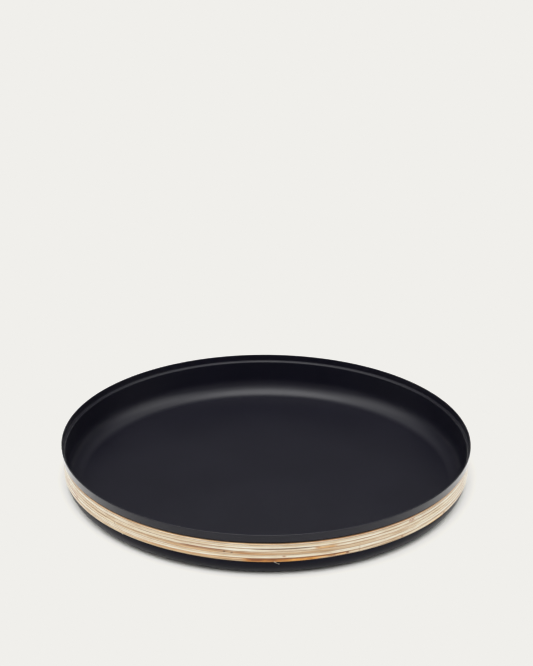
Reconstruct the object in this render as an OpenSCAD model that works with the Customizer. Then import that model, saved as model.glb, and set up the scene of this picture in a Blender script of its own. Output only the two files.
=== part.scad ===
// Round serving tray: a pressed sheet-metal pan with a stepped-out lip, and a band of
// natural splints glued round its side under the lip.
// Millimetres. The origin is the middle of the underside and +Z is up.

/* [Pan] */
// Outside diameter across the lip
tray_d = 400; // [300:5:500]
// Height from the underside to the top of the rim
tray_h = 45; // [42:1:60]
// Outside radius of the corner between the side and the underside
corner_r = 18; // [8:1:20]
// Thickness of the coated sheet
sheet_t = 1.2; // [0.8:0.1:1.6]

/* [Lip] */
// Height of the lip, from the top of the rim to the underside of its step
lip_h = 8.1; // [6:0.1:10]
// How far the lip stands out from the wall below it
lip_step = 2.5; // [2:0.1:4]

/* [Splint band] */
// Number of splints, laid edge to edge up the wall
splint_count = 6; // [3:1:9]
// Thickness of a splint
splint_t = 0.8; // [0.5:0.1:1]
// Radius on the two outer edges of a splint
splint_edge_r = 0.25; // [0.1:0.05:0.4]
// Open seam between one splint and the next
splint_seam = 0.06; // [0.02:0.01:0.2]
// Gap where the two ends of a splint meet
butt_gap = 0.4; // [0.2:0.1:1]
// Gap between the lip's step and the top splint
gap_above = 0.45; // [0.3:0.05:1]
// Straight wall left bare between the lowest splint and the corner
bare_below = 0.45; // [0.2:0.05:2]
// Thickness of the adhesive film behind the splints
film_t = 0.1; // [0.05:0.05:0.3]
// How far the film stops short of the band's top and bottom edges
film_inset = 0.3; // [0.1:0.1:1]

/* [Hidden] */
tray_r = tray_d / 2;
wall_r = tray_r - lip_step;
floor_r = wall_r - corner_r;

// The step is an S-bend: two quarter bends of this centreline radius
bend_r = lip_step / 2;
bend_x = wall_r - sheet_t / 2 + bend_r;
upper_bend_z = tray_h - lip_h + bend_r + sheet_t / 2;
lower_bend_z = upper_bend_z - lip_step;

band_low = corner_r + bare_below;
band_high = tray_h - lip_h - gap_above;
splint_pitch = (band_high - band_low) / splint_count;
splint_w = splint_pitch - splint_seam;
splint_back_r = wall_r + film_t;
butt_angle = butt_gap / splint_back_r * 180 / PI;

// The golden angle keeps the places where splints end well apart round the tray
stagger_angle = 137.5;
// Where the two ends of the top splint meet, from +X towards +Y
first_butt_angle = 174;

arc_fn = 64;
turn_fn = 240;

// One quarter of a flat ring. The signs of side_x and side_y pick the quarter.
module quarter_ring(outer_r, inner_r, side_x, side_y) {
    intersection() {
        difference() {
            circle(r = outer_r, $fn = arc_fn);
            circle(r = inner_r, $fn = arc_fn);
        }
        translate([side_x > 0 ? 0 : -outer_r, side_y > 0 ? 0 : -outer_r])
            square(outer_r);
    }
}

// An upright rectangle between two radii and two heights
module strip(r_in, r_out, z_low, z_high) {
    translate([r_in, z_low]) square([r_out - r_in, z_high - z_low]);
}

// Half cross-section of the pan: the sheet followed from the rim to the middle
module pan_section() {
    bend_out = bend_r + sheet_t / 2;
    bend_in = bend_r - sheet_t / 2;
    translate([tray_r - sheet_t / 2, tray_h - sheet_t / 2])
        circle(d = sheet_t, $fn = arc_fn);
    strip(tray_r - sheet_t, tray_r, upper_bend_z, tray_h - sheet_t / 2);
    translate([bend_x, upper_bend_z]) quarter_ring(bend_out, bend_in, 1, -1);
    translate([bend_x, lower_bend_z]) quarter_ring(bend_out, bend_in, -1, 1);
    strip(wall_r - sheet_t, wall_r, corner_r, lower_bend_z);
    translate([floor_r, corner_r]) quarter_ring(corner_r, corner_r - sheet_t, 1, -1);
    strip(0, floor_r, 0, sheet_t);
}

module tray_pan() {
    color("#1c1b1f") rotate_extrude($fn = turn_fn) pan_section();
}

module adhesive_film() {
    color("#8c7f66")
        rotate_extrude($fn = turn_fn)
            strip(wall_r, splint_back_r, band_low + film_inset, band_high - film_inset);
}

// Cross-section of a splint, its back on the Y axis and its outer edges rounded
module splint_section() {
    square([splint_t - splint_edge_r, splint_w]);
    translate([0, splint_edge_r]) square([splint_t, splint_w - 2 * splint_edge_r]);
    for (z = [splint_edge_r, splint_w - splint_edge_r])
        translate([splint_t - splint_edge_r, z]) circle(r = splint_edge_r, $fn = arc_fn);
}

// Splint number i, counted from the top of the band
module splint(i) {
    low = band_high - i * splint_pitch + splint_seam / 2;
    color(i % 2 == 0 ? "#d8c39c" : "#e3d3b2")
        rotate(first_butt_angle + (i - 1) * stagger_angle)
            rotate_extrude(angle = 360 - butt_angle, $fn = turn_fn)
                translate([splint_back_r, low]) splint_section();
}

tray_pan();
adhesive_film();
for (i = [1:splint_count])
    splint(i);
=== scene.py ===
"""Looks of the round serving tray: a satin black pan with a band of natural splints round its side."""

import math

import bpy
import numpy as np
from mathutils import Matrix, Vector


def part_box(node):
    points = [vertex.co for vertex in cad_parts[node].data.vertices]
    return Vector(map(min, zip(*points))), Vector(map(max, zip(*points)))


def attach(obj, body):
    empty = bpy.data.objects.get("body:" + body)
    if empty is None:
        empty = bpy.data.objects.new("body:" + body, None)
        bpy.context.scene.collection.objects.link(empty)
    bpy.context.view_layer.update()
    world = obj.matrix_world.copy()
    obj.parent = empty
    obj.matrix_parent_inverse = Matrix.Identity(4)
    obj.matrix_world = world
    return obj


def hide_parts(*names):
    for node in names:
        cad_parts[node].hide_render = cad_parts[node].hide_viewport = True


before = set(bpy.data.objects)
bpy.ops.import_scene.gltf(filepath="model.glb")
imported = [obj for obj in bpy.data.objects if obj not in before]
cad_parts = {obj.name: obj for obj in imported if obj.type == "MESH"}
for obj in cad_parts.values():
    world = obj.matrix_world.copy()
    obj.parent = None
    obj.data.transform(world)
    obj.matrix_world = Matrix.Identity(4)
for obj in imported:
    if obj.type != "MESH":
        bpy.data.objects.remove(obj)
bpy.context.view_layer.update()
scene = bpy.context.scene

MM = 0.001

# ---------------------------------------------------------------- sizes, from the frame

pan_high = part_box("tray_pan")[1]
film_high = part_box("adhesive_film")[1]
SPLINTS = sorted(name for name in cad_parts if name.startswith("splint_"))
splint_boxes = [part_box(name) for name in SPLINTS]

LIP_R = pan_high.x
TRAY_H = pan_high.z
BACK_R = film_high.x
FACE_R = max(high.x for low, high in splint_boxes)
BAND_TOP = splint_boxes[0][1].z
BAND_LOW = splint_boxes[-1][0].z

# Sizes that no box gives, the same as in the CAD
SHEET_T = 1.2 * MM
CORNER_R = 18 * MM
FILM_T = 0.1 * MM
LIP_H = 8.1 * MM

WALL_R = BACK_R - FILM_T
LIP_STEP = LIP_R - WALL_R


# ---------------------------------------------------------------- mesh helpers

def wave(angle, seed, periods, fade):
    """Smooth seeded wander round the tray, from -1 to 1: a sum of whole-number waves."""
    rng = np.random.default_rng(seed)
    total = np.zeros_like(angle)
    weight = 0.0
    for n in periods:
        size = n ** -fade
        total += size * np.sin(n * angle + rng.uniform(0, 2 * math.pi))
        weight += size
    return total / weight


def make_object(name, verts, faces):
    """A smooth-shaded mesh object in the scene."""
    mesh = bpy.data.meshes.new(name)
    mesh.from_pydata([tuple(v) for v in verts], [], faces)
    mesh.validate()
    mesh.polygons.foreach_set("use_smooth", [True] * len(mesh.polygons))
    mesh.update()
    obj = bpy.data.objects.new(name, mesh)
    scene.collection.objects.link(obj)
    return obj


def grid_faces(rows, columns, close_rows, close_columns):
    """Quads between the points of a grid that is numbered row by row."""
    faces = []
    for i in range(rows if close_rows else rows - 1):
        for j in range(columns if close_columns else columns - 1):
            i2, j2 = (i + 1) % rows, (j + 1) % columns
            faces.append((i * columns + j, i2 * columns + j, i2 * columns + j2, i * columns + j2))
    return faces


def lathe_points(outline, turns):
    """The points (r, z) of an outline turned round the Z axis, one copy of the outline after another."""
    verts = []
    for a in np.linspace(0, 2 * math.pi, turns, endpoint=False):
        c, s = math.cos(a), math.sin(a)
        verts += [(r * c, r * s, z) for r, z in outline]
    return verts


def arc(cx, cz, radius, start, end, steps):
    """Points (r, z) on an arc, with angles in degrees from the outward direction."""
    angles = np.radians(np.linspace(start, end, steps + 1))
    return [(cx + radius * math.cos(a), cz + radius * math.sin(a)) for a in angles]


# How far from a bend the nearest point of a straight stands, which keeps the smooth shading true
BEND_GUARD = 0.15 * MM


def straight(start, end, steps):
    """Points (r, z) between two points of an outline, with one close to each end."""
    (r0, z0), (r1, z1) = start, end
    close = BEND_GUARD / math.hypot(r1 - r0, z1 - z0)
    shares = [close] + [k / steps for k in range(1, steps)] + [1 - close]
    return [(r0 + (r1 - r0) * t, z0 + (z1 - z0) * t) for t in shares]


# ---------------------------------------------------------------- the pan

PAN_TURNS = 480
# Rings of points across the flat middle, and points along each stretch of the outline
DISC_RINGS = 12
CORNER_STEPS = 24
WIDE_BEND_STEPS = 12
TIGHT_BEND_STEPS = 8
WALL_STEPS = 6
LIP_STEPS = 4
# The coats outside the pan, by their places in its list of materials, where the coat inside comes first;
# the others are copies of it with painted shade and painted sheen
BASE, LIP, STEP = 1, 2, 3
# Heights of a face's normal: the underside lies below the first, the underside of the lip's step below
# the second, and the top of the rim above the third
UNDERSIDE, STEP_UNDERSIDE, RIM_TOP = -0.5, -0.3, 0.5


def pan_outline():
    """The closed cross-section of the sheet, as (r, z).

    It runs out along the underside, up the outside, over the rim, down the inside and back along
    the floor."""
    bend = LIP_STEP / 2
    half = SHEET_T / 2
    wide, tight = bend + half, bend - half
    bend_x = WALL_R - half + bend
    upper_z = TRAY_H - LIP_H + bend + half
    lower_z = upper_z - LIP_STEP
    corner_x = WALL_R - CORNER_R
    rim_z = TRAY_H - half
    inner_r, inner_lip_r = WALL_R - SHEET_T, LIP_R - SHEET_T
    rings = [corner_x * k / DISC_RINGS for k in range(1, DISC_RINGS)] + [corner_x - BEND_GUARD]
    return (
        [(r, 0.0) for r in rings]
        + arc(corner_x, CORNER_R, CORNER_R, -90, 0, CORNER_STEPS)
        + straight((WALL_R, CORNER_R), (WALL_R, lower_z), WALL_STEPS)
        + arc(bend_x, lower_z, tight, 180, 90, TIGHT_BEND_STEPS)
        + arc(bend_x, upper_z, wide, -90, 0, WIDE_BEND_STEPS)
        + straight((LIP_R, upper_z), (LIP_R, rim_z), LIP_STEPS)
        + arc(LIP_R - half, rim_z, half, 0, 180, WIDE_BEND_STEPS)
        + straight((inner_lip_r, rim_z), (inner_lip_r, upper_z), LIP_STEPS)
        + arc(bend_x, upper_z, tight, 0, -90, TIGHT_BEND_STEPS)
        + arc(bend_x, lower_z, wide, 90, 180, WIDE_BEND_STEPS)
        + straight((inner_r, lower_z), (inner_r, CORNER_R), WALL_STEPS)
        + arc(corner_x, CORNER_R, CORNER_R - SHEET_T, 0, -90, CORNER_STEPS)
        + [(r, SHEET_T) for r in reversed(rings)]
    )


def build_pan():
    """The pan as one closed lathe mesh, with a pole in the middle of the floor and of the underside."""
    outline = pan_outline()
    n = len(outline)
    verts = lathe_points(outline, PAN_TURNS)
    faces = grid_faces(PAN_TURNS, n, True, False)
    under_pole, floor_pole = len(verts), len(verts) + 1
    verts += [(0, 0, 0), (0, 0, SHEET_T)]
    for i in range(PAN_TURNS):
        k = (i + 1) % PAN_TURNS
        faces.append((under_pole, k * n, i * n))
        faces.append((floor_pole, i * n + n - 1, k * n + n - 1))
    return make_object("pan_body", verts, faces)


def mark_outside(pan):
    """Give the outside of the pan its coats.

    They are copies of the black coat with painted light and shade: less gloss below the band as painted
    shade, sheen on the lip as painted sheen, and almost no gloss on the underside of its step as a
    painted shadow."""
    for face in pan.data.polygons:
        facing_out = face.normal.x * face.center.x + face.normal.y * face.center.y > 0
        outside = facing_out or face.normal.z < UNDERSIDE
        if outside and face.center.z < BAND_LOW:
            face.material_index = BASE
        if outside and face.center.z > BAND_TOP and face.normal.z < RIM_TOP:
            face.material_index = LIP if face.normal.z > STEP_UNDERSIDE else STEP


# ---------------------------------------------------------------- the splint band

TURNS = 1440
FACE_ROWS = 10
BUTT_GAP = 0.4 * MM
BUTT_SKEW = 0.5 * MM
STAGGER = math.radians(137.5)
FIRST_BUTT = math.radians(174)
EDGE_R = 0.22 * MM
CROWN = 0.06 * MM
# Where the point between a splint's back and its worn corner stands, as a share of the thickness inwards
SIDE_POINT = 0.6
# Direction of the front of the tray, in degrees
FRONT = -90.0

# How far the inner seams, the band's top and bottom edges, and a splint's thickness wander
SEAM_WANDER = 0.32 * MM
TOP_WANDER = 0.08 * MM
BOTTOM_WANDER = 0.12 * MM
THICK_WANDER = 0.07 * MM
# How far each inner seam stands off its even place at the front of the tray, from the top one down, and
# within how many degrees that dies away
SEAM_SHIFTS = [0.70 * MM, -0.10 * MM, 0.0, -0.20 * MM, -0.70 * MM]
SHIFT_REACH = 50
# The top splint stops a little short of the lip, and the lowest one hangs a little below its even place
TOP_DROP = 0.25 * MM
BOTTOM_DROP = 0.20 * MM
# It hangs lower still within this many degrees of the front, where it keeps its bark
BARK_DROP = 0.75 * MM
BARK_REACH = 14
# Half the width of a closed seam, and how much that can grow, in mm
SEAM_CLOSED = 0.05
SEAM_OPENING = 0.12

# Seeds of the wander of each splint or seam, to which its number is added
SEAM_SEED, GAP_SEED, THICK_SEED, DRIFT_SEED, LEAN_SEED, EDGE_SEED = 40, 60, 80, 120, 140, 160


def off_front(angle):
    """Degrees away from the front of the tray, from -180 to 180."""
    return (np.degrees(angle) - FRONT + 180) % 360 - 180


def seam_height(k, angle):
    """Middle height of seam k, where 0 is the band's top edge and the last one its bottom edge."""
    count = len(SPLINTS)
    seed = SEAM_SEED + k
    level = BAND_TOP + (BAND_LOW - BAND_TOP) * k / count
    if k == 0:
        return level - TOP_DROP + TOP_WANDER * wave(angle, seed, range(5, 40), 0.4)
    if k == count:
        dip = BARK_DROP * np.exp(-(off_front(angle) / BARK_REACH) ** 2)
        return level - BOTTOM_DROP - dip + BOTTOM_WANDER * wave(angle, seed, range(4, 60), 0.3)
    near_front = np.exp(-(off_front(angle) / SHIFT_REACH) ** 2)
    return level + SEAM_SHIFTS[k - 1] * near_front + SEAM_WANDER * wave(angle, seed, range(2, 16), 0.5)


def seam_gap(k, angle):
    """Half the width of the open seam k."""
    opening = np.clip(wave(angle, GAP_SEED + k, range(3, 30), 0.3), 0, 1)
    return (SEAM_CLOSED + SEAM_OPENING * opening) * MM


def section(height, thick):
    """Cross-sections of a splint, for arrays of heights and thicknesses.

    Gives the depth and the height of each point. The two outer corners are worn round."""
    corner = np.radians([0, 30, 60, 90])
    rise = EDGE_R * (1 - np.cos(corner))
    worn = EDGE_R * (1 - np.sin(corner))
    rows = np.linspace(0, 1, FACE_ROWS + 2)[1:-1]
    ones = np.ones_like(height)[:, None]
    h, t = height[:, None], thick[:, None]
    side = SIDE_POINT * t
    face_z = EDGE_R + rows * (h - 2 * EDGE_R)
    z = np.hstack([0 * h, 0 * h, rise * ones, face_z, h - rise[::-1], h, h])
    inset = np.hstack([t, side, worn * ones, 0 * face_z, worn[::-1] * ones, side, t])
    crown = CROWN * (1 - (2 * z / h - 1) ** 2)
    depth = np.maximum(t - CROWN + crown - inset, 0)
    depth[:, 0] = depth[:, -1] = 0
    return depth, z


def build_splint(index):
    """One splint: a closed strip bent into a ring, of uneven width and thickness, with two cut ends."""
    name = SPLINTS[index]
    start = FIRST_BUTT + index * STAGGER
    span = 2 * math.pi - BUTT_GAP / FACE_R
    angle = start + np.linspace(0, span, TURNS)
    top = seam_height(index, angle) - seam_gap(index, angle)
    low = seam_height(index + 1, angle) + seam_gap(index + 1, angle)
    thick = FACE_R - BACK_R + THICK_WANDER * wave(angle, THICK_SEED + index, range(2, 40), 0.5)
    depth, z = section(top - low, thick)
    skew = BUTT_SKEW / FACE_R * (1 if index % 2 else -1)
    turn = angle[:, None] + skew * (z / (top - low)[:, None] - 0.5)
    r = BACK_R + depth
    points = np.stack([r * np.cos(turn), r * np.sin(turn), low[:, None] + z], axis=-1)
    columns = depth.shape[1]
    last = (TURNS - 1) * columns
    faces = grid_faces(TURNS, columns, False, True)
    faces.append(tuple(range(columns)))
    faces.append(tuple(last + k for k in reversed(range(columns))))
    obj = make_object("natural_" + name, points.reshape(-1, 3), faces)
    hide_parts(name)
    return obj


# Where each loose fibre starts, in degrees, how far round it runs and how far it drops
FIBRES = [
    (-88.0, 5.4 * MM, 2.4 * MM),
    (-131.0, 2.4 * MM, 0.6 * MM),
    (24.0, 3.0 * MM, 1.0 * MM),
    (118.0, 4.0 * MM, 1.3 * MM),
    (196.0, 2.6 * MM, 0.9 * MM),
]
FIBRE_SIDES = 6
FIBRE_STEPS = 8
# A fibre's radius at its root, and how much of it is gone at the tip, in mm
FIBRE_ROOT = 0.17
FIBRE_TAPER = 0.10
# How deep in the band and how far above the band's edge it starts, and how far it bows out
FIBRE_DEPTH = 0.25 * MM
FIBRE_RISE = 0.2 * MM
FIBRE_BOW = 0.5 * MM
# How much of half a wave the bow takes up, and how the drop gathers along the fibre
FIBRE_ARC = 0.6
FIBRE_DROOP = 1.2


def fibre_points(where, length, drop):
    """The points of one fibre: a tapered tube that curls out and down from the band's lower edge."""
    start = math.radians(where)
    edge = float(seam_height(len(SPLINTS), np.array([start]))[0])
    verts = []
    for k in range(FIBRE_STEPS + 1):
        t = k / FIBRE_STEPS
        a = start + t * length / FACE_R
        r = FACE_R - FIBRE_DEPTH + FIBRE_BOW * math.sin(math.pi * FIBRE_ARC * t)
        z = edge + FIBRE_RISE - drop * t ** FIBRE_DROOP
        thick = (FIBRE_ROOT - FIBRE_TAPER * t) * MM
        for j in range(FIBRE_SIDES):
            p = 2 * math.pi * j / FIBRE_SIDES
            radius = r + thick * math.cos(p)
            verts.append((radius * math.cos(a), radius * math.sin(a), z + thick * math.sin(p)))
    return verts


def build_fibres():
    """Thin fibres that have come loose from the band's lower edge, in one piece."""
    verts, faces = [], []
    for fibre in FIBRES:
        base = len(verts)
        tip = base + FIBRE_STEPS * FIBRE_SIDES
        verts += fibre_points(*fibre)
        for face in grid_faces(FIBRE_STEPS + 1, FIBRE_SIDES, False, True):
            a, b, c, d = (base + point for point in face)
            faces.append((a, d, c, b))
        faces.append(tuple(base + j for j in reversed(range(FIBRE_SIDES))))
        faces.append(tuple(tip + j for j in range(FIBRE_SIDES)))
    return make_object("loose_fibres", verts, faces)


# ---------------------------------------------------------------- materials

class Nodes:
    """A short way to build a node tree."""

    def __init__(self, name):
        self.material = bpy.data.materials.new(name)
        self.material.use_nodes = True
        self.tree = self.material.node_tree
        self.shader = self.tree.nodes["Principled BSDF"]

    def add(self, kind, **values):
        node = self.tree.nodes.new(kind)
        for key, value in values.items():
            setattr(node, key, value)
        return node

    def link(self, source, target):
        self.tree.links.new(source, target)

    def coordinates(self, scale):
        """Object coordinates, scaled along each axis."""
        place = self.add("ShaderNodeTexCoord")
        mapping = self.add("ShaderNodeMapping")
        mapping.inputs["Scale"].default_value = scale
        self.link(place.outputs["Object"], mapping.inputs["Vector"])
        return mapping.outputs["Vector"]

    def noise(self, scale, detail, roughness=0.5):
        """Noise of so many waves a metre along each axis."""
        node = self.add("ShaderNodeTexNoise")
        node.inputs["Scale"].default_value = 1.0
        node.inputs["Detail"].default_value = detail
        node.inputs["Roughness"].default_value = roughness
        self.link(self.coordinates(scale), node.inputs["Vector"])
        return node.outputs["Fac"]

    def ramp(self, source, stops):
        """A colour ramp through stops, a list of (place, grey or colour)."""
        node = self.add("ShaderNodeValToRGB")
        elements = node.color_ramp.elements
        while len(elements) < len(stops):
            elements.new(0.5)
        for element, (place, colour) in zip(elements, stops):
            element.position = place
            grey = isinstance(colour, float)
            element.color = (colour, colour, colour, 1) if grey else (*colour, 1)
        self.link(source, node.inputs["Fac"])
        return node.outputs["Color"]

    def multiply(self, a, b):
        node = self.add("ShaderNodeMix", data_type="RGBA", blend_type="MULTIPLY")
        node.inputs["Factor"].default_value = 1.0
        self.link(a, node.inputs[6])
        self.link(b, node.inputs[7])
        return node.outputs[2]

    def bump(self, height, strength, distance, normal=None):
        node = self.add("ShaderNodeBump")
        node.inputs["Strength"].default_value = strength
        node.inputs["Distance"].default_value = distance
        self.link(height, node.inputs["Height"])
        if normal is not None:
            self.link(normal, node.inputs["Normal"])
        return node.outputs["Normal"]

    def to(self, socket, source):
        self.link(source, self.shader.inputs[socket])

    def set(self, **values):
        """Set constants on the shader's own sockets; an underscore stands for a space."""
        for key, value in values.items():
            self.shader.inputs[key.replace("_", " ")].default_value = value


def powder_coat(name, gloss, sheen=0.0):
    """Satin black powder coat: near-black, faintly blue, with a very fine orange peel."""
    n = Nodes(name)
    fine = n.noise((1100, 1100, 1100), detail=2)
    broad = n.noise((14, 14, 14), detail=4)
    n.to("Base Color", n.ramp(broad, [(0.3, (0.0032, 0.0030, 0.0070)), (0.7, (0.0040, 0.0038, 0.0084))]))
    n.to("Roughness", n.ramp(broad, [(0.3, 0.33), (0.7, 0.36)]))
    n.to("Normal", n.bump(fine, 0.25, 0.03 * MM))
    n.set(IOR=1.41, Specular_IOR_Level=gloss, Sheen_Weight=sheen, Sheen_Roughness=0.38)
    return n.material


def splint_wood(name):
    """Unvarnished bamboo: long grain that runs round the tray over the tone painted on the mesh."""
    n = Nodes(name)
    bands = n.noise((7, 7, 640), detail=2)
    streaks = n.noise((20, 20, 1500), detail=4, roughness=0.6)
    fibres = n.noise((70, 70, 5200), detail=3, roughness=0.55)
    patches = n.noise((60, 60, 260), detail=3)
    # Each grain darkens the tone where its noise is low. In turn: the noise, the value at which it is
    # darkest, the dark colour, and the value at which it is clear.
    grains = [
        (bands, 0.38, (0.76, 0.64, 0.50), 0.53),
        (streaks, 0.34, (0.58, 0.43, 0.28), 0.48),
        (fibres, 0.32, (0.74, 0.64, 0.52), 0.50),
        (patches, 0.30, (0.88, 0.82, 0.74), 0.55),
    ]
    colour = n.add("ShaderNodeAttribute", attribute_name="tone").outputs["Color"]
    for noise, dark_at, dark, clear_at in grains:
        colour = n.multiply(colour, n.ramp(noise, [(dark_at, dark), (clear_at, (1.0, 1.0, 1.0))]))
    n.to("Base Color", colour)
    n.to("Roughness", n.ramp(streaks, [(0.3, 0.66), (0.7, 0.50)]))
    n.to("Normal", n.bump(fibres, 0.5, 0.025 * MM, n.bump(streaks, 0.6, 0.06 * MM)))
    n.set(Sheen_Weight=0.55, Sheen_Roughness=0.35)
    return n.material


def dried_glue():
    """The film behind the splints: dull amber, with brush marks."""
    n = Nodes("dried_glue")
    marks = n.noise((40, 40, 900), detail=3)
    n.to("Base Color", n.ramp(marks, [(0.3, (0.09, 0.055, 0.025)), (0.7, (0.20, 0.13, 0.06))]))
    n.to("Roughness", n.ramp(marks, [(0.3, 0.35), (0.7, 0.6)]))
    n.to("Normal", n.bump(marks, 0.4, 0.05 * MM))
    return n.material


# ---------------------------------------------------------------- tones painted on the splints

WHITE = np.array([0.68, 0.66, 0.585])
CREAM = np.array([0.64, 0.59, 0.485])
STRAW = np.array([0.58, 0.49, 0.345])
TAN = np.array([0.43, 0.30, 0.18])
ORANGE = np.array([0.66, 0.33, 0.05])
BARK = np.array([0.30, 0.11, 0.02])
RUST = np.array([0.15, 0.04, 0.01])
BROWN = np.array([0.26, 0.14, 0.06])
DARK = np.array([0.09, 0.045, 0.018])
GOLDEN = ORANGE * 0.75
AMBER = ORANGE * 0.5 + TAN * 0.5
KNOT = ORANGE * 0.5 + TAN * 0.4
CHESTNUT = BARK * 1.3
UMBER = RUST * 1.2

# The two tones that each splint drifts between, from the top one down
SPLINT_TONES = [
    (WHITE, STRAW), (WHITE, CREAM), (WHITE, STRAW), (CREAM, STRAW), (WHITE, CREAM), (CREAM, STRAW),
]
# How much the tone drifts along a splint, how much it leans from edge to edge, and how far from the
# first of its two tones it starts
TONE_DRIFT, TONE_LEAN, TONE_START = 0.7, 0.6, 0.15
# Both edges of a splint are darker: a brown stain on its cut edges, with painted shade from the seam. How
# far in, as a share of its width, how strongly, how much that wanders, and how steeply it fades
DARK_EDGE, DARK_EDGE_STRENGTH, DARK_EDGE_WANDER, DARK_EDGE_SLOPE = 0.16, 0.78, 0.30, 1.3
# Across a splint, a mark is full up to 0.45 of the way from its middle to its edge, and gone at 1.36
MARK_LEVEL, MARK_SLOPE = 1.5, 1.1

# Seeds and numbers of the flecks on the bark, and of the marks strewn over the sides and the back
FLECK_SEED, FLECKS = 11, 26
STREWN_SEED, STREWN_SEAMS, STREWN_PATCHES, STREWN_NICKS = 7, 16, 14, 12


class Mark:
    """A mark on splint number index, counted from the top one, 0: a natural mark of the wood, or the
    painted shadow under the lip.

    It runs from one angle to another in degrees, and between two heights given as shares of the splint's
    width. soft is how many degrees its ends take to fade."""

    def __init__(self, index, start, end, low, high, colour, strength, soft=0.6):
        self.index, self.start, self.end, self.low, self.high = index, start, end, low, high
        self.colour, self.strength, self.soft = colour, strength, soft

    def weight(self, angle, up):
        """How strongly it shows at each point: fully over its middle, fading past its edges."""
        middle, half = (self.start + self.end) / 2, (self.end - self.start) / 2
        away = np.abs((np.degrees(angle) - middle + 180) % 360 - 180)
        along = np.clip((half - away) / self.soft + 0.5, 0, 1)
        centre, reach = (self.low + self.high) / 2, (self.high - self.low) / 2
        across = np.clip(MARK_LEVEL - MARK_SLOPE * np.abs(up - centre) / reach, 0, 1)
        return self.strength * along * across


def seam_marks(upper, start, end, colour, strength, soft=3.0, width=0.12):
    """A dark line along the seam under splint upper, on the edges of the two splints that meet there."""
    return [
        Mark(upper, start, end, -width, width, colour, strength, soft),
        Mark(upper + 1, start, end, 1 - width, 1 + width, colour, strength, soft),
    ]


def seen_marks():
    """The marks on the front of the band."""
    marks = [
        *seam_marks(2, -153, -111, BROWN, 0.75, 8),
        *seam_marks(2, -112, -100.5, UMBER, 1.0, 3.0, 0.26),
        *seam_marks(2, -102, -86, BROWN, 0.6, 8),
        *seam_marks(1, -93, -78, DARK, 0.95, 4.0, 0.20),
        *seam_marks(1, -150, -139, BARK, 0.8, 4.0),
        *seam_marks(0, -56, -52.5, BARK, 0.9, 1.5),
        *seam_marks(1, -66, -62, BROWN, 0.8, 1.5),
        *seam_marks(4, -96, -68.5, RUST, 0.95, 2.0),
        # The golden line that runs all round under the lip, and the painted shadow of the lip along the
        # top of the band
        Mark(0, -180, 180, 0.43, 0.82, ORANGE, 0.65, 1.0),
        Mark(0, -79, -46, 0.40, 0.86, CHESTNUT, 0.75, 5.0),
        Mark(0, -180, 180, 0.76, 1.30, DARK, 1.0, 1.0),
        # Patches and specks in the body of the band
        Mark(1, -49.4, -47.6, 0.1, 1.1, BARK, 0.6, 0.6),
        Mark(2, -77.0, -71.8, 0.00, 0.85, KNOT, 0.9, 1.5),
        Mark(2, -77.3, -76.0, 0.40, 1.10, BARK, 0.6, 0.8),
        Mark(2, -92.0, -78.0, 0.10, 0.90, TAN, 0.35, 6.0),
        Mark(3, -125, -88, 0.15, 0.95, TAN, 0.62, 14),
        Mark(3, -116, -102, 0.05, 0.45, GOLDEN, 0.5, 4.0),
        Mark(3, -98, -88, 0.10, 0.60, GOLDEN, 0.45, 4.0),
        Mark(3, -88, -55, 0.15, 0.95, TAN, 0.35, 14),
        Mark(3, -100.8, -100.3, 0.40, 0.80, DARK, 0.95, 0.2),
        Mark(3, -98.9, -98.4, 0.30, 0.70, DARK, 0.95, 0.2),
        Mark(3, -98.0, -93.0, 0.30, 0.80, BARK, 0.45, 3.0),
        Mark(4, -85.7, -84.9, 0.45, 0.80, BARK, 0.8, 0.4),
        Mark(4, -153.4, -152.4, 0.2, 0.9, BARK, 0.7, 0.5),
        Mark(4, -65.4, -65.0, 0.0, 1.0, BROWN, 0.4, 0.2),
        # The lowest splint, with the stretch that keeps its bark
        Mark(5, -128, -95, 0.40, 1.00, AMBER, 0.55, 12),
        Mark(5, -95.5, -76.5, -0.2, 1.2, ORANGE, 0.95, 2.0),
        Mark(5, -95.0, -84.0, 0.20, 1.1, BARK, 0.75, 2.0),
        Mark(5, -76.8, -68.8, 0.40, 1.1, ORANGE, 0.85, 1.5),
        Mark(5, -95.0, -69.0, 0.68, 1.1, RUST, 0.85, 1.5),
        Mark(5, -88.5, -87.2, 0.1, 0.9, RUST, 0.6, 1.0),
        Mark(5, -69.0, -68.2, 0.3, 1.0, RUST, 0.9, 0.3),
        Mark(5, -42.0, -34.5, -0.1, 0.38, ORANGE, 0.75, 1.5),
        Mark(5, -34.3, -33.5, 0.1, 0.8, BARK, 0.8, 0.4),
        Mark(5, -52.1, -51.5, 0.2, 0.9, BARK, 0.8, 0.3),
        Mark(5, -65.4, -65.0, 0.0, 1.0, BROWN, 0.5, 0.2),
    ]
    return marks + bark_flecks()


def bark_flecks():
    """Dark flecks strewn over the bark of the lowest splint."""
    rng = np.random.default_rng(FLECK_SEED)
    flecks = []
    for _ in range(FLECKS):
        start, low = rng.uniform(-95.5, -70), rng.uniform(0.25, 0.85)
        end, high = start + rng.uniform(0.5, 2.4), low + rng.uniform(0.12, 0.3)
        colour = (RUST, BARK)[rng.integers(2)]
        flecks.append(Mark(5, start, end, low, high, colour, rng.uniform(0.5, 0.95)))
    return flecks


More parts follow.
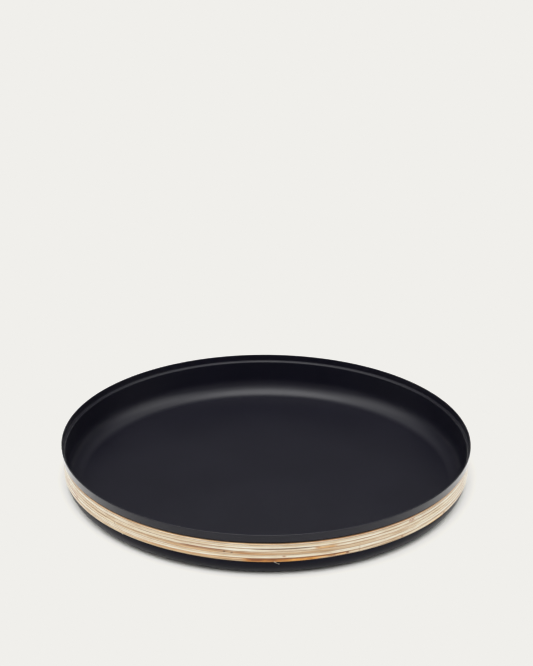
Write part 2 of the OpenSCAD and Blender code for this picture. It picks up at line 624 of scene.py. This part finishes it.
def unseen_marks():
    """Marks of the same kinds, strewn over the sides and the back of the band."""
    rng = np.random.default_rng(STREWN_SEED)
    marks = []
    for _ in range(STREWN_SEAMS):
        start = rng.uniform(-20, 190)
        colour = (DARK, BROWN, RUST)[rng.integers(3)]
        upper, end = int(rng.integers(5)), start + rng.uniform(6, 26)
        marks += seam_marks(upper, start, end, colour, rng.uniform(0.5, 0.9), 4.0)
    for _ in range(STREWN_PATCHES):
        start, low = rng.uniform(-20, 200), rng.uniform(0, 0.5)
        colour = (TAN, ORANGE, BARK)[rng.integers(3)]
        index, end = int(rng.integers(6)), start + rng.uniform(2, 14)
        high = low + rng.uniform(0.3, 0.5)
        marks.append(Mark(index, start, end, low, high, colour, rng.uniform(0.5, 0.85), 2.0))
    for _ in range(STREWN_NICKS):
        start = rng.uniform(-30, 200)
        index = int(rng.integers(6))
        marks.append(Mark(index, start, start + 0.4, 0.0, rng.uniform(0.6, 1.0), RUST, 0.8, 0.2))
    return marks


MARKS = seen_marks() + unseen_marks()


def add_tone(obj, colours):
    """Store the tone of each point of a piece, which its wood material reads."""
    layer = obj.data.color_attributes.new("tone", "FLOAT_COLOR", "POINT")
    values = np.c_[colours, np.ones(len(colours))].astype(np.float32)
    layer.data.foreach_set("color", values.ravel())


def paint_tone(obj, index):
    """Paint the colour of a splint on its points: its own drift, darker edges that are partly painted
    seam shade, and its marks, among them the painted shadow under the lip.
    """
    mesh = obj.data
    co = np.zeros(len(mesh.vertices) * 3, np.float32)
    mesh.vertices.foreach_get("co", co)
    co = co.reshape(-1, 3).astype(float)
    angle = np.arctan2(co[:, 1], co[:, 0])
    low, high = seam_height(index + 1, angle), seam_height(index, angle)
    up = np.clip((co[:, 2] - low) / (high - low), 0, 1)
    first, second = SPLINT_TONES[index]
    drift = 0.5 + 0.5 * wave(angle, DRIFT_SEED + index, range(1, 18), 0.4)
    lean = 0.5 + 0.5 * wave(angle, LEAN_SEED + index, range(1, 9), 0.4)
    share = TONE_DRIFT * drift + TONE_LEAN * (lean - 0.5) * (2 * up - 1) + TONE_START
    share = np.clip(share, 0, 1)[:, None]
    tone = first * (1 - share) + second * share
    # Darker edges: a brown stain on the cut edges, with painted shade from the seam between two splints
    for near, seam in ((up, index + 1), (1 - up, index)):
        wander = wave(angle, EDGE_SEED + seam, range(2, 24), 0.3)
        strength = DARK_EDGE_STRENGTH + DARK_EDGE_WANDER * wander
        edge = (np.clip(DARK_EDGE_SLOPE * (1 - near / DARK_EDGE), 0, 1) * strength)[:, None]
        tone = tone * (1 - edge) + BROWN * edge
    for mark in MARKS:
        if mark.index == index:
            weight = mark.weight(angle, up)[:, None]
            tone = tone * (1 - weight) + mark.colour * weight
    add_tone(obj, tone)


# ---------------------------------------------------------------- put the object together

pan = build_pan()
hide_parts("tray_pan")
# The black coat inside, then its copies: painted shade below the band, painted sheen on the lip, and a
# painted shadow under the lip's step
for coat in (
    powder_coat("powder_coat_black", gloss=0.5),
    powder_coat("powder_coat_base_painted_shade", gloss=0.10),
    powder_coat("powder_coat_lip_painted_sheen", gloss=0.26, sheen=0.85),
    powder_coat("powder_coat_step_painted_shadow", gloss=0.04),
):
    pan.data.materials.append(coat)
mark_outside(pan)
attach(pan, "root")

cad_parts["adhesive_film"].material_slots[0].material = dried_glue()

for index, name in enumerate(SPLINTS):
    strip = build_splint(index)
    paint_tone(strip, index)
    strip.data.materials.append(splint_wood("wood_" + name))
    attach(strip, "root")

fibres = build_fibres()
add_tone(fibres, np.tile(WHITE, (len(fibres.data.vertices), 1)))
fibres.data.materials.append(splint_wood("wood_fibres"))
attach(fibres, "root")


# ---------------------------------------------------------------- studio

FLOOR_R = 9.0
FLOOR_TURNS = 96
FLOOR_STEPS = 10
SWEEP_R = 0.9
SWEEP_STEPS = 16
WALL_H = 1.2
FLOOR_WHITE = (0.800, 0.792, 0.764, 1)
FLOOR_DROP = 0.02 * MM

# The overhead softbox is so large and far off that every point of the floor sees it alike, so it is part
# of the world. It is brightest at its middle, and fades evenly to nothing at this many degrees from it
SOFTBOX_REACH = 66
SOFTBOX_RADIANCE = 2.1
# How far it leans from straight overhead, in degrees: towards the camera, and to the right
SOFTBOX_LEAN = (7, -2)
ROOM_RADIANCE = 0.13
# Lamps: name, lean as above, spread in degrees, power, and whether it shows in gloss or else in colour
LAMPS = [
    ("softbox_core", SOFTBOX_LEAN, 48, 1.20, True),
    ("softbox_glow", SOFTBOX_LEAN, 100, 0.80, True),
    ("softbox_left", (7, -52), 45, 0.55, True),
    ("softbox_right", (7, 52), 45, 0.65, True),
    ("front_fill", (37, 0), 40, 2.35, False),
    ("left_fill", (0, -55), 60, 1.15, False),
    ("right_fill", (0, 55), 60, 0.85, False),
]

# The brightest red, green and blue that the picture shows, and how bright the light is where it starts to
# be held back and where it reaches them
PAPER = (0.871, 0.863, 0.831)
SHOULDER = 0.72
SHOULDER_END = 0.95

# The camera's distance from the middle of the rim in lip radii, its angles in degrees, and its lens and
# sensor in mm
CAMERA_DISTANCE = 8
CAMERA_ELEVATION = 25.99
CAMERA_TILT = 22.42
CAMERA_ROLL = 0.23
CAMERA_LENS = 109.8
CAMERA_SENSOR = 36


def build_floor():
    """A pale floor that sweeps up into a round backdrop, well outside the tray's reflections."""
    flat = [(FLOOR_R * k / FLOOR_STEPS, 0.0) for k in range(1, FLOOR_STEPS + 1)]
    sweep = arc(FLOOR_R, SWEEP_R, SWEEP_R, -90, 0, SWEEP_STEPS)[1:]
    outline = flat + sweep + [(FLOOR_R + SWEEP_R, SWEEP_R + WALL_H)]
    n = len(outline)
    verts = lathe_points(outline, FLOOR_TURNS)
    faces = [face[::-1] for face in grid_faces(FLOOR_TURNS, n, True, False)]
    pole = len(verts)
    verts.append((0, 0, 0))
    faces += [(pole, k * n, (k + 1) % FLOOR_TURNS * n) for k in range(FLOOR_TURNS)]
    floor = make_object("studio_floor", verts, faces)
    n = Nodes("floor_white")
    n.set(Base_Color=FLOOR_WHITE, Roughness=0.9, Specular_IOR_Level=0.0)
    floor.data.materials.append(n.material)
    floor.location.z = -FLOOR_DROP


def build_lamps():
    """Lamps that add to the softbox's reflections, and fills that are polarised and so give no gloss."""
    for name, lean, spread, power, in_gloss in LAMPS:
        data = bpy.data.lights.new(name, "SUN")
        data.angle = math.radians(spread)
        data.energy = power
        lamp = bpy.data.objects.new(name, data)
        lamp.rotation_euler = (*map(math.radians, lean), 0)
        lamp.visible_glossy = in_gloss
        lamp.visible_diffuse = not in_gloss
        scene.collection.objects.link(lamp)


def build_world():
    """The overhead softbox, in a dim even room."""
    world = bpy.data.worlds.new("studio_world")
    world.use_nodes = True
    tree = world.node_tree
    reach = math.sin(math.radians(SOFTBOX_REACH))
    place = tree.nodes.new("ShaderNodeTexCoord")
    turn = tree.nodes.new("ShaderNodeMapping")
    turn.vector_type = "TEXTURE"
    turn.inputs["Rotation"].default_value = (*map(math.radians, SOFTBOX_LEAN), 0)
    # Only the distance sideways from the softbox's middle counts, so its third axis is stretched far out
    turn.inputs["Scale"].default_value = (reach, reach, 1000)
    fall = tree.nodes.new("ShaderNodeTexGradient")
    fall.gradient_type = "SPHERICAL"
    panel = tree.nodes["Background"]
    panel.inputs["Strength"].default_value = SOFTBOX_RADIANCE
    room = tree.nodes.new("ShaderNodeBackground")
    room.inputs["Color"].default_value = (1, 1, 1, 1)
    room.inputs["Strength"].default_value = ROOM_RADIANCE
    both = tree.nodes.new("ShaderNodeAddShader")
    tree.links.new(place.outputs["Generated"], turn.inputs["Vector"])
    tree.links.new(turn.outputs["Vector"], fall.inputs["Vector"])
    tree.links.new(fall.outputs["Color"], panel.inputs["Color"])
    tree.links.new(panel.outputs["Background"], both.inputs[0])
    tree.links.new(room.outputs["Background"], both.inputs[1])
    tree.links.new(both.outputs["Shader"], tree.nodes["World Output"].inputs["Surface"])
    scene.world = world


def build_exposure():
    """Plain colours, with a short shoulder: whatever is brighter than paper is shown as paper."""
    view = scene.view_settings
    view.view_transform = "Standard"
    view.use_curve_mapping = True
    mapping = view.curve_mapping
    for channel, paper in enumerate(PAPER):
        points = mapping.curves[channel].points
        points[0].location, points[-1].location = (0, 0), (1, paper)
        for place in ((SHOULDER, SHOULDER), (SHOULDER_END, paper)):
            points.new(*place)
        for point in points:
            point.handle_type = "VECTOR"
    mapping.update()


def build_camera():
    """A long lens, in front of the tray and above it."""
    distance = CAMERA_DISTANCE * LIP_R
    elevation = math.radians(CAMERA_ELEVATION)
    data = bpy.data.cameras.new("camera")
    data.sensor_fit = "HORIZONTAL"
    data.sensor_width = CAMERA_SENSOR
    data.lens = CAMERA_LENS
    data.clip_start = 0.01
    camera = bpy.data.objects.new("camera", data)
    camera.location = (0, -distance * math.cos(elevation), TRAY_H + distance * math.sin(elevation))
    camera.rotation_euler = (math.pi / 2 - math.radians(CAMERA_TILT), 0, 0)
    camera.rotation_euler.rotate_axis("Z", math.radians(CAMERA_ROLL))
    scene.collection.objects.link(camera)
    scene.camera = camera


build_floor()
build_lamps()
build_world()
build_exposure()
build_camera()
